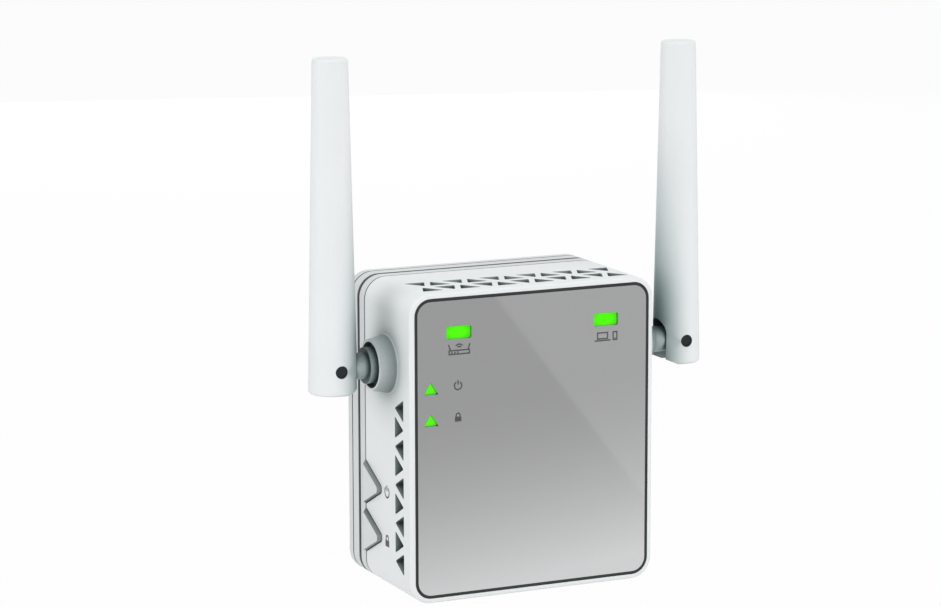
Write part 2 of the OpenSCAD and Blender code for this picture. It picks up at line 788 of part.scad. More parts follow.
module front_housing() color(white) difference() {
    union() {
        facing_front() difference() {
            slab(0, front_start, case_d);
            slab(wall, front_start - over, front_in);
            slab(wall / 2, front_start - over, front_start + tongue_l + tongue_gap);
            slab(border, seat_d, case_d + over);
        }
        both_sides() translate([boss_z, boss_d, side_x]) rotate_extrude() boss_profile();
        for (sx = [-1, 1], sz = [-1, 1])
            bar_d(sx * post_x, post_meet, sz * post_z, post_r, front_in + root - post_meet);
        for (p = standoffs)
            bar_d(p[0], board_front, p[1], standoff_r, standoff_l + root);
    }
    facing_front() around_case() translate([0, case_d]) edge_cut(edge_r);
    // Swivel bores and hub recesses
    both_sides() translate([boss_z, boss_d, 0]) {
        translate([0, 0, inner_x - over]) cylinder(r = shaft_r + run_gap, h = wall + boss_l + 2 * over);
        translate([0, 0, boss_end_x - recess_d]) cylinder(r = boss_end_r - rim_t, h = recess_d + over);
    }
    // Pilot holes
    for (sx = [-1, 1], sz = [-1, 1])
        bar_d(sx * post_x, post_meet - over, sz * post_z, screw_r + screw_gap, post_pilot + over);
    for (p = standoffs)
        bar_d(p[0], board_front - over, p[1], board_screw_r + screw_gap, board_pilot + over);
    // Vents
    seen_from_above() {
        translate([0, rear_row_d, inner_z - root]) linear_extrude(wall_cut)
            vent_row(top_vents, top_vent_step, top_vent_h, top_vent_lean, true, 0);
        translate([0, front_row_d, inner_z - root]) linear_extrude(wall_cut)
            vent_row(top_vents, top_vent_step, top_vent_h, top_vent_lean, false, 0);
        translate([0, front_row_d, root - inner_z - wall_cut]) linear_extrude(wall_cut)
            vent_row(top_vents, top_vent_step, top_vent_h, top_vent_lean, false, socket_solid);
    }
    both_sides() translate([side_vent_z, side_vent_d, inner_x - root]) linear_extrude(wall_cut)
        vent_row(side_vents, side_vent_step, side_vent_h, 0, false, 0);
    // Lamp windows, key notches, socket opening and reset pinhole
    facing_front() translate([0, 0, front_in - over]) linear_extrude(front_t + 2 * over) at_lamps(lens_gap);
    left_side() for (z = key_z)
        translate([z, key_start, inner_x - root]) linear_extrude(wall_cut) key_outline(key_gap, over);
    block(0, socket_rear - socket_gap, root - inner_z - wall_cut / 2,
          socket_w + 2 * socket_gap, socket_t + 2 * socket_gap, wall_cut);
    bar_z(-reset_x, reset_d, root - inner_z - wall_cut, pinhole_r, wall_cut);
}

module front_panel() color(silver) facing_front() translate([0, 0, seat_d])
    linear_extrude(panel_t) difference() {
        outline(border + gasket_w + panel_gap);
        at_lamps(lens_gap);
    }

module panel_gasket() color(charcoal) facing_front() translate([0, 0, seat_d])
    linear_extrude(panel_t - gasket_sunk) difference() {
        outline(border + panel_gap);
        outline(border + gasket_w);
    }

// A cross-head screw whose head rests at depth d: way is 1 where it points to the front, -1 to the rear
module screw(x, d, z, r, l, top_r, top_h, way) {
    cross_w = 0.45 * top_r;
    cross_l = 1.3 * top_r;
    cross_deep = top_h / 2;
    translate([x, -d, z]) rotate([90 * way, 0, 0]) difference() {
        union() {
            cylinder(r = r, h = l);
            translate([0, 0, -top_h]) cylinder(r = top_r, h = top_h);
        }
        for (turn = [0, 90]) rotate([0, 0, turn])
            translate([-cross_l / 2, -cross_w / 2, -top_h - over])
                cube([cross_l, cross_w, over + cross_deep]);
    }
}

module case_screws() color(bright_metal) for (sx = [-1, 1], sz = [-1, 1])
    screw(sx * post_x, head_d, sz * post_z, screw_r, post_meet + screw_grip - head_d, head_r, head_h, 1);

// A lamp window with a holding lip behind the front wall
module lens(x, z) color(lamp_green) facing_front() translate([x, z, 0]) {
    translate([0, 0, lens_back]) linear_extrude(case_d - lens_sunk - lens_back) children(0);
    translate([0, 0, front_in - lens_lip_t]) linear_extrude(lens_lip_t) children(1);
}

module link_lens() lens(-lamp_x, lamp_z) {
    lamp_outline(0);
    lamp_outline(lens_lip);
}

module client_lens() lens(lamp_x, lamp_z) {
    lamp_outline(0);
    lamp_outline(lens_lip);
}

module power_lens() lens(sign_x, sign_z[0]) {
    sign_outline(0);
    sign_outline(lens_lip);
}

module pairing_lens() lens(sign_x, sign_z[1]) {
    sign_outline(0);
    sign_outline(lens_lip);
}

module lamp_chips() color(tape_yellow) {
    for (sx = [-1, 1]) block(sx * lamp_x, board_front, lamp_z, chip_s, chip_h, chip_s);
    for (z = sign_z) block(sign_x, board_front, z + sign_h / 3, chip_s, chip_h, chip_s);
}

// A side key that rises from the middle frame, with a shallow foot and the lip that keeps it in the case
module side_key(z) color(white) left_side() translate([z, key_start, key_in_x]) {
    flush = side_x - key_in_x;
    face = flush + key_proud;
    foot = inner_x - key_in_x;
    far = 2 * key_h;
    intersection() {
        linear_extrude(face) key_outline(0, 0);
        rotate([90, 0, 90]) linear_extrude(2 * key_base, center = true)
            polygon([[0, foot], [0, flush], [key_ramp, face], [far, face], [far, 0],
                     [key_lip_start, 0], [key_lip_start, foot]]);
    }
    linear_extrude(key_lip_t) intersection() {
        key_outline(key_lip, 0);
        translate([-key_base, key_lip_start]) square([2 * key_base, 2 * key_h]);
    }
}

module power_key() side_key(key_z[0]);
module pairing_key() side_key(key_z[1]);

// A switch body with the bore of its stem, mouth at local z = 0
module switch_body(travel) color(chip_black) difference() {
    translate([-switch_s / 2, -switch_s / 2, -switch_h]) cube([switch_s, switch_s, switch_h]);
    translate([0, 0, -stem_in - travel - stem_floor])
        cylinder(r = stem_r + stem_gap, h = stem_in + travel + stem_floor + over);
}

module side_switch(z) left_side() translate([z, switch_d, switch_x]) switch_body(key_travel);
module power_switch() side_switch(key_z[0]);
module pairing_switch() side_switch(key_z[1]);
module reset_switch() translate([-reset_x, -reset_d, reset_z]) mirror([0, 0, 1]) switch_body(reset_travel);

module side_stem(z) color(tape_yellow) left_side() translate([z, switch_d, switch_x - stem_in])
    cylinder(r = stem_r, h = key_in_x - switch_x + stem_in);
module power_stem() side_stem(key_z[0]);
module pairing_stem() side_stem(key_z[1]);
module reset_stem() color(tape_yellow)
    bar_z(-reset_x, reset_d, reset_z - reset_stem_out, stem_r, reset_stem_out + stem_in);

module switch_board() color(board_green) left_side()
    translate([lower_key_z - switch_s / 2 - switch_edge, switch_d - switch_s / 2 - switch_edge,
               switch_board_x - switch_board_t])
        cube([key_pitch + switch_s + 2 * switch_edge, board_rear - switch_d + switch_s / 2 + switch_edge,
              switch_board_t]);

// Half of a swivel's outline: hollow shaft with a clip groove, hub and round end
module swivel_profile() difference() {
    hub_x = boss_end_x - recess_d + axial_gap;
    union() {
        translate([0, shaft_end_x]) square([shaft_r, pin_x - shaft_end_x]);
        translate([0, hub_x]) square([hub_r, boss_end_x + hub_proud - hub_x]);
        translate([0, pin_x]) circle(shaft_r);
    }
    translate([shaft_r - clip_groove, clip_x - groove_play])
        square([clip_groove + over, clip_t + 2 * groove_play]);
    translate([-shaft_r - over, shaft_end_x - over])
        square([shaft_r + over + lead_bore_r, pin_x - shaft_end_x + shaft_r + 2 * over]);
}

module swivel() color(white) difference() {
    right_side() translate([boss_z, boss_d, 0]) rotate_extrude() swivel_profile();
    bar_d(pin_x, boss_d - shaft_r - over, boss_z, pin_r + pin_gap, 2 * (shaft_r + over));
}

module clip() color(bright_metal) translate([0, -boss_d, boss_z]) difference() {
    bar_x(clip_x, 0, 0, clip_r, clip_t);
    bar_x(clip_x - over, 0, 0, shaft_r - clip_groove + groove_play, clip_t + 2 * over);
    translate([clip_x - over, -clip_mouth / 2, -clip_r - over])
        cube([clip_t + 2 * over, clip_mouth, clip_r + over]);
}

// Half of an antenna's outline: chamfered foot, straight taper and rounded tip
module antenna_profile() {
    shoulder = antenna_l - tip_round;
    polygon([[0, 0], [foot_r - foot_chamfer, 0], [foot_r, foot_chamfer], [tip_r, shoulder], [0, shoulder]]);
    translate([0, shoulder - root]) square([tip_r - tip_round, tip_round + root]);
    intersection() {
        translate([tip_r - tip_round, shoulder]) circle(tip_round);
        translate([0, shoulder - root]) square([tip_r, tip_round + root + over]);
    }
}

module antenna() color(white) difference() {
    translate([pin_x, -boss_d, foot_z]) rotate_extrude() antenna_profile();
    bar_z(pin_x, boss_d, boss_z, antenna_bore_r, antenna_top - tip_wall - boss_z);
    // Slot for the neck, open to the case and downwards, with an arched top
    slot_in = foot_r + over;
    arch_z = boss_z + slot_up - slot_w / 2;
    right_side() translate([0, boss_d, pin_x - slot_in]) linear_extrude(slot_in + shaft_r + slot_past) {
        translate([arch_z, 0]) circle(slot_w / 2);
        translate([foot_z - over, -slot_w / 2]) square([arch_z - foot_z + over, slot_w]);
    }
    bar_d(pin_x, boss_d - foot_r - over, boss_z, pin_r + pin_seat_gap, 2 * (foot_r + over));
    // Slanted toe, which clears the hub when the antenna tilts
    toe_end = toe_up * (slot_in - toe_in) / (foot_r - toe_in);
    translate([pin_x, -boss_d, foot_z]) rotate([90, 0, 0]) linear_extrude(2 * slot_in, center = true)
        polygon([[-toe_in, 0], [-slot_in, toe_end], [-slot_in, -over], [-toe_in, -over]]);
}

module hinge_pins() color(bright_metal) for (way = [-1, 1]) {
    from = way > 0 ? pin_apart / 2 : -foot_r + pin_sunk;
    bar_d(pin_x, boss_d + from, boss_z, pin_r, foot_r - pin_sunk - pin_apart / 2);
}

module element() color(brass_tone) {
    bar_z(pin_x, boss_d, sleeve_z, antenna_bore_r - sleeve_gap, sleeve_l);
    bar_z(pin_x, boss_d, sleeve_z, radiator_r, sleeve_l + radiator_l);
}

module feed() color(lead_grey) bar_z(pin_x, boss_d, feed_z, lead_r, sleeve_z - feed_z);

// A round lead swept along its route
module lead() color(lead_grey) {
    count = len(lead_points);
    rings = [for (i = [0 : count - 1])
        let (ahead = heading(lead_points, i), level = cross(ahead, [0, 0, 1]),
             across = level / norm(level), upward = cross(across, ahead))
        for (j = [0 : lead_sides - 1])
            let (a = 360 * j / lead_sides) lead_points[i] + lead_r * (cos(a) * across + sin(a) * upward)];
    skin = [for (i = [0 : count - 2], j = [0 : lead_sides - 1])
        let (a = i * lead_sides + j, b = i * lead_sides + (j + 1) % lead_sides)
        for (face = [[a, b, b + lead_sides], [a, b + lead_sides, a + lead_sides]]) face];
    start_cap = [for (j = [lead_sides - 1 : -1 : 0]) j];
    end_cap = [for (j = [0 : lead_sides - 1]) (count - 1) * lead_sides + j];
    polyhedron(points = rings, faces = concat(skin, [start_cap, end_cap]));
}

module left_swivel() mirror([1, 0, 0]) swivel();
module right_swivel() swivel();
module left_clip() mirror([1, 0, 0]) clip();
module right_clip() clip();
module left_antenna() mirror([1, 0, 0]) antenna();
module right_antenna() antenna();
module left_hinge_pins() mirror([1, 0, 0]) hinge_pins();
module right_hinge_pins() hinge_pins();
module left_element() mirror([1, 0, 0]) element();
module right_element() element();
module left_feed() mirror([1, 0, 0]) feed();
module right_feed() feed();
module left_lead() mirror([1, 0, 0]) lead();
module right_lead() lead();

module antenna_plugs() color(brass_tone) for (sx = [-1, 1])
    bar_d(sx * antenna_plug_x, board_rear - antenna_plug_h, antenna_plug_z, antenna_plug_r, antenna_plug_h);

// The main board, notched at its corners for the screw posts
module main_board() color(board_green) difference() {
    facing_front() translate([0, 0, board_rear]) linear_extrude(board_t) {
        square([2 * board_half_w, 2 * (post_z - post_r - post_clear)], center = true);
        square([2 * (post_x - post_r - post_clear), 2 * board_half_h], center = true);
    }
    for (p = standoffs)
        bar_d(p[0], board_rear - over, p[1], board_screw_r + hole_gap, board_t + 2 * over);
}

module board_screws() color(bright_metal) for (p = standoffs)
    screw(p[0], board_rear, p[1], board_screw_r, board_t + board_grip, board_head_r, board_head_h, 1);

// A flat chip on the rear of the main board
module chip(at, w, h, t) block(at[0], board_rear - t, at[1], w, t, h);

module processor() color(chip_black) chip(processor_at, processor_s, processor_s, processor_t);
module memory_chip() color(chip_black) chip(memory_at, memory_w, memory_h, memory_t);
module radio_shield() color(bright_metal) chip(shield_at, shield_w, shield_h, shield_t);
module lan_magnetics() color(chip_black) chip(magnetics_at, magnetics_w, magnetics_h, magnetics_t);
module crystal() color(bright_metal) chip(crystal_at, crystal_w, crystal_h, crystal_t);

module ethernet_socket() color(charcoal) difference() {
    block(0, socket_rear, socket_z + socket_l / 2, socket_w, socket_t, socket_l);
    cavity_mid = socket_z + (cavity_l - over) / 2;
    block(0, cavity_rear, cavity_mid, cavity_w, cavity_t, cavity_l + over);
    block(0, cavity_rear - latch_t, cavity_mid, latch_w, latch_t + over, cavity_l + over);
}

// Contact springs that rise from the cavity's front wall towards its end
module ethernet_contacts() color(brass_tone) for (k = [0 : contact_count - 1]) {
    x = (k - (contact_count - 1) / 2) * contact_step;
    translate([x + contact_w / 2, -cavity_front, socket_z + cavity_l])
        rotate([0, -90, 0]) linear_extrude(contact_w) polygon([
            [0, 0], [-contact_l, 0], [-contact_l, contact_t], [-contact_l + contact_t, contact_t],
            [-contact_t, contact_rise], [0, contact_rise]]);
}

module supply_board() color(board_green) difference() {
    block(0, supply_d, supply_mid, 2 * supply_half_w, supply_t, supply_h);
    for (p = supply_bosses)
        bar_d(p[0], supply_d - over, p[1], board_screw_r + hole_gap, supply_t + 2 * over);
    for (sx = [-1, 1])
        block(sx * blade_pitch / 2, supply_d - over, plug_z, blade_t + 2 * plug_gap, supply_t + 2 * over,
              tail_w + 2 * plug_gap);
}

module supply_screws() color(bright_metal) for (p = supply_bosses)
    screw(p[0], supply_front, p[1], board_screw_r, supply_t + board_grip, board_head_r, board_head_h, -1);

// The transformer's square core, whose window holds the taped winding
module transformer_core() color(ferrite) difference() {
    block(core_at[0], supply_front, core_at[1], core_w, core_h, core_l);
    block(core_at[0], supply_front + core_yoke, core_at[1], core_w - 2 * core_leg, core_h - 2 * core_yoke,
          core_l + 2 * over);
}

module transformer_winding() color(tape_yellow)
    block(core_at[0], supply_front + core_yoke, core_at[1], core_w - 2 * core_leg - 2 * winding_air,
          core_h - 2 * core_yoke, core_l + 2 * winding_bulge);

module bulk_capacitors() color(cap_blue) for (at = bulk_at)
    bar_d(at[0], supply_front, at[1], bulk_r, bulk_l);

module output_capacitor() color(cap_blue) bar_d(output_at[0], supply_front, output_at[1], output_r, output_l);

module mains_fuse() color(bright_metal)
    bar_x(fuse_at[0] - fuse_l / 2, supply_front + fuse_r, fuse_at[1], fuse_r, fuse_l);

module rectifier() color(chip_black)
    block(rectifier_at[0], supply_front, rectifier_at[1], rectifier_w, rectifier_t, rectifier_h);

module choke() color(ferrite) bar_d(choke_at[0], supply_front, choke_at[1], choke_r, choke_l);

module suppressor() color(tape_yellow)
    bar_x(disc_at[0] - disc_t / 2, supply_front + disc_r, disc_at[1], disc_r, disc_t);

// The row of square pins between the two boards, grown by a gap and shortened at the main board
module link_pin_row(gap, short) for (k = [0 : pin_count - 1])
    block(link_x + (k - (pin_count - 1) / 2) * pin_step, supply_front, link_z,
          pin_side + 2 * gap, board_rear - strip_floor - short - supply_front, pin_side + 2 * gap);

// The pin header on the supply board and the pin socket on the main board
module link_header() color(chip_black) difference() {
    union() {
        block(link_x, supply_front, link_z, pin_count * pin_step, header_s, header_s);
        block(link_x, board_rear - strip_h, link_z, pin_count * pin_step, strip_h, header_s);
    }
    link_pin_row(plug_gap, 0);
}

module link_pins() color(brass_tone) link_pin_row(0, plug_gap);

// One blade of the plug: tapered tip, hole, wide part and narrow tail
module blade(x) color(brass_tone) difference() {
    union() {
        translate([x, 0, plug_z - blade_w / 2]) seen_from_above() linear_extrude(blade_w) polygon([
            [-blade_t / 2, carrier_end], [-blade_t / 2, blade_tip - blade_l], [-blade_t / 4, -blade_l],
            [blade_t / 4, -blade_l], [blade_t / 2, blade_tip - blade_l], [blade_t / 2, carrier_end]]);
        block(x, carrier_end - root, plug_z, blade_t, tail_end - carrier_end + root, tail_w);
    }
    bar_x(x - blade_t, -blade_hole_out, plug_z, blade_hole_r, 2 * blade_t);
}

module left_blade() blade(-blade_pitch / 2);
module right_blade() blade(blade_pitch / 2);

module blade_carrier() color(charcoal) difference() {
    union() {
        block(0, 0, plug_z, carrier_w, back_t + root, carrier_h);
        block(0, back_t, plug_z, carrier_w + 2 * carrier_step, carrier_end - back_t,
              carrier_h + 2 * carrier_step);
    }
    for (sx = [-1, 1])
        block(sx * blade_pitch / 2, -over, plug_z, blade_t + 2 * plug_gap, carrier_end + 2 * over,
              blade_w + 2 * plug_gap);
}

rear_cover();
mid_frame();
front_housing();
front_panel();
panel_gasket();
case_screws();
link_lens();
client_lens();
power_lens();
pairing_lens();
lamp_chips();
power_key();
pairing_key();
power_switch();
pairing_switch();
reset_switch();
power_stem();
pairing_stem();
reset_stem();
switch_board();
left_swivel();
right_swivel();
left_clip();
right_clip();
left_antenna();
right_antenna();
left_hinge_pins();
right_hinge_pins();
left_element();
right_element();
left_feed();
right_feed();
left_lead();
right_lead();
antenna_plugs();
main_board();
board_screws();
processor();
memory_chip();
radio_shield();
lan_magnetics();
crystal();
ethernet_socket();
ethernet_contacts();
supply_board();
supply_screws();
transformer_core();
transformer_winding();
bulk_capacitors();
output_capacitor();
mains_fuse();
rectifier();
choke();
suppressor();
link_header();
link_pins();
left_blade();
right_blade();
blade_carrier();
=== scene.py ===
import math

import bpy
from mathutils import Euler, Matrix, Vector


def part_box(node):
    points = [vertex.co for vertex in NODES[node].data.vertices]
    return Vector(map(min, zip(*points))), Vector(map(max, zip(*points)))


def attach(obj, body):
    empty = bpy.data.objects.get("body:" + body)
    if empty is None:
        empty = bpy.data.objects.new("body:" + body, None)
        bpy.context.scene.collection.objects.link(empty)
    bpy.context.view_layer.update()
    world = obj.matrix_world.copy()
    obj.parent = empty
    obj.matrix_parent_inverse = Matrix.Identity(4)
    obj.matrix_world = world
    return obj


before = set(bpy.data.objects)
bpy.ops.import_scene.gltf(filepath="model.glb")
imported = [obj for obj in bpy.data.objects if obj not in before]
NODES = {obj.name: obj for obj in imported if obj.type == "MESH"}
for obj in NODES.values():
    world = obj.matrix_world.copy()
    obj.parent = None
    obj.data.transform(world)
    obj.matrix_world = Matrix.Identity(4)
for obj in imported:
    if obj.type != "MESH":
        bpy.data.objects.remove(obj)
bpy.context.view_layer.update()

MM = 0.001
SIDE_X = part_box("mid_frame")[1].x
PANEL_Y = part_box("front_panel")[0].y

# Camera of the photograph: place in metres, turn in degrees, lens and sensor in millimetres
CAMERA_AT = (-0.307785, -0.670768, 0.158249)
CAMERA_TURN = (79.683, 0.127, -24.754)
CAMERA_LENS = 129.39
SENSOR_WIDTH = 36

# Stage, in metres: the floor lies below the antennas when they point down
FLOOR_Z = -0.056
FLOOR_SIZE = 6.0
FLOOR_COLOUR = (0.9, 0.9, 0.9)
FLOOR_ROUGHNESS = 0.8
WORLD_LIGHT = 0.55

# Strength of plain white, and its share in what the camera, gloss and glass see of the floor and the sky
PLAIN_WHITE = 1.0
FLOOR_WHITE = 0.93
SKY_WHITE = 1.0

# Soft lamps: where each stands and aims, in metres, its width and its power in watts
STUDIO_LAMPS = {
    "front_lamp": ((-0.4, -0.9, 0.5), (0, 0, 0.02), 0.6, 3.0),
    "right_lamp": ((0.9, -0.6, 0.5), (0, 0, 0.02), 0.6, 2.6),
    "left_lamp": ((-1.0, -0.05, 0.2), (0, 0, 0.02), 0.6, 1.8),
    "top_lamp": ((0, 0.1, 1.0), (0, 0, 0), 0.7, 2.2),
    "back_lamp": ((0.3, 1.0, 0.1), (0, 0, 0.02), 0.6, 1.8),
}

# Cards on the floor for the facing to mirror, which only gloss sees: their extent, in metres
CARD_NEAR_Y = -0.06
CARD_END_Y = -2.0
CARD_HALF_W = 1.5
CARD_LIFT = 0.001

# Two points on the left edge of the pale card, which lies on the grey one
STRIP_EDGE = ((0.1379, -0.2907), (0.1933, -0.4645))

# Glow of the cards near the object, and far from it for the grey and the pale one
CARD_BRIGHT = 1.0
CARD_DARK = 0.36
STRIP_DARK = 0.458

# The cards brighten along Y plus this share of X, from the first to the second value, by this power
CARD_TILT = 0.373
CARD_FADE = (-0.287, -0.101)
CARD_POWER = 2.3

# Colours, linear
WHITE_PLASTIC = (0.80, 0.825, 0.83)
# Rear layers and side keys: the white plastic darkened, as painted shade at the back of the case
REAR_SHADED_PLASTIC = (0.68, 0.70, 0.705)
SILVER = (0.62, 0.625, 0.63)
RUBBER = (0.045, 0.047, 0.05)
WINDOW_GREEN = (0.085, 1.0, 0.0)
WINDOW_RIM = (0.05, 0.6, 0.005)
PRINT = (0.09, 0.09, 0.095)
STEEL = (0.62, 0.62, 0.60)
BLACK_STEEL = (0.05, 0.054, 0.056)
BRASS = (0.72, 0.55, 0.27)
BLACK_PLASTIC = (0.02, 0.02, 0.022)
BOARD = (0.02, 0.11, 0.05)
CHIP_YELLOW = (0.78, 0.60, 0.10)
LEAD = (0.12, 0.12, 0.125)
FERRITE = (0.05, 0.048, 0.046)
CAPACITOR = (0.02, 0.05, 0.20)

# Painted shade in recesses and between parts: how far it reaches, in metres, how fast it darkens and how dark
# it ends
PAINTED_SHADE_REACH = 0.01
PAINTED_SHADE_POWER = 1.7
DEEPEST_PAINTED_SHADE = (0.045, 0.062, 0.056)
# Painted shade on the antennas, reaching farther from the case, and on the swivels, darkening faster
ANTENNA_SHADE_REACH = 0.035
ANTENNA_SHADE_POWER = 1.35
SWIVEL_SHADE_POWER = 4.8

# How finely the painted shade is worked out: steps of its ramp, and rays
PAINTED_SHADE_STOPS = 9
PAINTED_SHADE_RAYS = 8

# How much faster red, green and blue fade in the painted shade of plain pieces, the housing and the antennas,
# so the shade turns cool
PLAIN_SHADE_TINT = (1.07, 1.0, 1.01)
HOUSING_SHADE_TINT = (1.12, 1.0, 1.01)
ANTENNA_SHADE_TINT = (1.18, 1.0, 1.0)

# How much faster the painted shade on the bosses darkens, and over which length outside the side faces
BOSS_SHADE_POWER = 2.1
BOSS_SHADE_RISE = 0.5 * MM

# Noises: grains per metre, and how many finer layers each has
PLASTIC_CLOUDS = (45, 3)
LACQUER_CLOUDS = (60, 2)
LACQUER_FLAKES = (9000, 1)
METAL_PATCHES = (160, 4)
METAL_SCRATCHES = (2400, 5)
BOARD_GRAIN = (2500, 2)
PLASTIC_GRAIN_LAYERS = 2

# The span that holds most values of a noise
NOISE_MIDDLE = (0.3, 0.7)

# Relief of a grain: its height in metres and its strength
PLASTIC_RELIEF = (0.02 * MM, 0.25)
METAL_RELIEF = (0.01 * MM, 0.2)
BOARD_RELIEF = (0.02 * MM, 0.2)

# Radius of the softened edges, in metres
EDGE_RADIUS = 0.00015

# Strength of the plastics' gloss, where 0.5 is that of a polished plastic
PLASTIC_GLOSS = 0.3

# How far the roughness strays from its middle, to the smooth and to the dull side
PLASTIC_STRAY = (-0.06, 0.06)
METAL_STRAY = (-0.08, 0.12)

# Shade of the dull patches of a metal
PATCH_SHADE = 0.82

# Facing: how metallic it is, its shade between the flakes, and its least and greatest roughness
SILVER_METALLIC = 0.75
FLAKE_SHADE = 0.97
LACQUER_ROUGHNESS = (0.02, 0.04)

# Clear coat of the facing
COAT_WEIGHT = 0.6
COAT_ROUGHNESS = 0.015

# Lamp windows: glow at the face and behind the panel, and the share of the depth between them
WINDOW_GLOW = (0.9, 0.06)
WINDOW_GLOW_DEPTH = (0.1, 0.3)

# Where a lamp window's colour turns to its rim's, from the middle outwards, as a share of its size
WINDOW_RIM_SPAN = (0.28, 0.6)

# Unlit shade, roughness and gloss of a lamp window
WINDOW_SHADE = 0.1
WINDOW_ROUGHNESS = 0.25
WINDOW_GLOSS = 0.15

# Circuit boards: tiles per metre, the width of the paths between them, and the shades of tiles and paths
BOARD_ROUGHNESS = 0.35
BOARD_TILES = 260
PATH_WIDTH = 0.03
TILE_SHADE = 0.85
PATH_SHADE = 1.7

# Finish of all white plastics
WHITE_FINISH = {"roughness": 0.5, "mottling": 0.02, "grain_scale": 3200}


# Node helpers

def feed(tree, socket, value):
    """Sets an input to a plain value, or links it to another node's output."""
    if isinstance(value, bpy.types.NodeSocket):
        tree.links.new(value, socket)
    else:
        socket.default_value = value


def calculate(tree, operation, *values):
    """The result of a math node on plain numbers and outputs."""
    node = tree.nodes.new("ShaderNodeMath")
    node.operation = operation
    for socket, value in zip(node.inputs, values):
        feed(tree, socket, value)
    return node.outputs["Value"]


def calculate_vector(tree, operation, *vectors):
    """The outputs of a vector math node on plain vectors and outputs."""
    node = tree.nodes.new("ShaderNodeVectorMath")
    node.operation = operation
    for socket, vector in zip(node.inputs, vectors):
        feed(tree, socket, vector)
    return node.outputs


def remap(tree, source, old, new):
    """A source mapped from the old span to the new one, and held within it."""
    node = tree.nodes.new("ShaderNodeMapRange")
    tree.links.new(source, node.inputs["Value"])
    for ends, span in [("From", old), ("To", new)]:
        node.inputs[ends + " Min"].default_value = span[0]
        node.inputs[ends + " Max"].default_value = span[1]
    return node.outputs["Result"]


def ramp(tree, source, stops):
    """A colour that follows a source through stops, each a position and a colour."""
    node = tree.nodes.new("ShaderNodeValToRGB")
    elements = node.color_ramp.elements
    for position, _ in stops[1:-1]:
        elements.new(position)
    for element, (position, colour) in zip(elements, stops):
        element.position = position
        element.color = (*colour, 1)
    tree.links.new(source, node.inputs["Fac"])
    return node.outputs["Color"]


def place_on(tree, kind):
    """Coordinates that stay put on the piece: Object is in metres, Generated from 0 to 1."""
    return tree.nodes.new("ShaderNodeTexCoord").outputs[kind]


def axis(tree, vector, letter):
    """One coordinate of a vector."""
    split = tree.nodes.new("ShaderNodeSeparateXYZ")
    tree.links.new(vector, split.inputs["Vector"])
    return split.outputs[letter]


def noise(tree, scale, layers):
    """Noise with scale in grains per metre and a number of finer layers."""
    cloud = tree.nodes.new("ShaderNodeTexNoise")
    cloud.inputs["Scale"].default_value = scale
    cloud.inputs["Detail"].default_value = layers
    tree.links.new(place_on(tree, "Object"), cloud.inputs["Vector"])
    return cloud.outputs["Fac"]


# Material helpers

def new_material(name, colour, metallic, roughness):
    mat = bpy.data.materials.new(name)
    mat.use_nodes = True
    shader = mat.node_tree.nodes["Principled BSDF"]
    shader.inputs["Base Color"].default_value = (*colour, 1)
    shader.inputs["Metallic"].default_value = metallic
    shader.inputs["Roughness"].default_value = roughness
    return mat, mat.node_tree, shader


def shade(colour, k):
    return tuple(k * c for c in colour)


def tint(tree, source, first, second):
    """A colour that runs from first to second over the middle of a noise."""
    return ramp(tree, source, list(zip(NOISE_MIDDLE, (first, second))))


def stray(tree, source, roughness, ends):
    """A roughness that strays between two ends over the middle of a noise."""
    return remap(tree, source, NOISE_MIDDLE, [roughness + end for end in ends])


def relief(tree, shader, source, height, strength):
    """Raises the surface with a source, by a height in metres, and softens its sharp edges."""
    soft = tree.nodes.new("ShaderNodeBevel")
    soft.inputs["Radius"].default_value = EDGE_RADIUS
    bump = tree.nodes.new("ShaderNodeBump")
    bump.inputs["Strength"].default_value = strength
    bump.inputs["Distance"].default_value = height
    tree.links.new(soft.outputs["Normal"], bump.inputs["Normal"])
    tree.links.new(source, bump.inputs["Height"])
    tree.links.new(bump.outputs["Normal"], shader.inputs["Normal"])


def deepen_boss_shade(tree, openness):
    """Painted shade on bosses: openness raised to a power that grows outside the side faces."""
    across = calculate(tree, "ABSOLUTE", axis(tree, place_on(tree, "Object"), "X"))
    power = remap(tree, across, (SIDE_X, SIDE_X + BOSS_SHADE_RISE), (1, BOSS_SHADE_POWER))
    return calculate(tree, "POWER", openness, power)


def paint_hollow_shade(tree, source, reach, power, shade_tint_powers, own, bosses):
    """A source colour with painted shade, darker and cooler where other surfaces close in.

    Where own is true, only the piece's own surfaces count. Where bosses is true, its bosses darken faster."""
    near = tree.nodes.new("ShaderNodeAmbientOcclusion")
    near.samples = PAINTED_SHADE_RAYS
    near.only_local = own
    near.inputs["Distance"].default_value = reach
    openness = near.outputs["AO"]
    if bosses:
        openness = deepen_boss_shade(tree, openness)
    stops = []
    for k in range(PAINTED_SHADE_STOPS):
        share = k / (PAINTED_SHADE_STOPS - 1)
        light = [deep + (1 - deep) * share ** (power * faster)
                 for deep, faster in zip(DEEPEST_PAINTED_SHADE, shade_tint_powers)]
        stops.append((share, light))
    mix = tree.nodes.new("ShaderNodeMixRGB")
    mix.blend_type = "MULTIPLY"
    mix.inputs["Fac"].default_value = 1
    tree.links.new(source, mix.inputs["Color1"])
    tree.links.new(ramp(tree, openness, stops), mix.inputs["Color2"])
    return mix.outputs["Color"]


# Materials

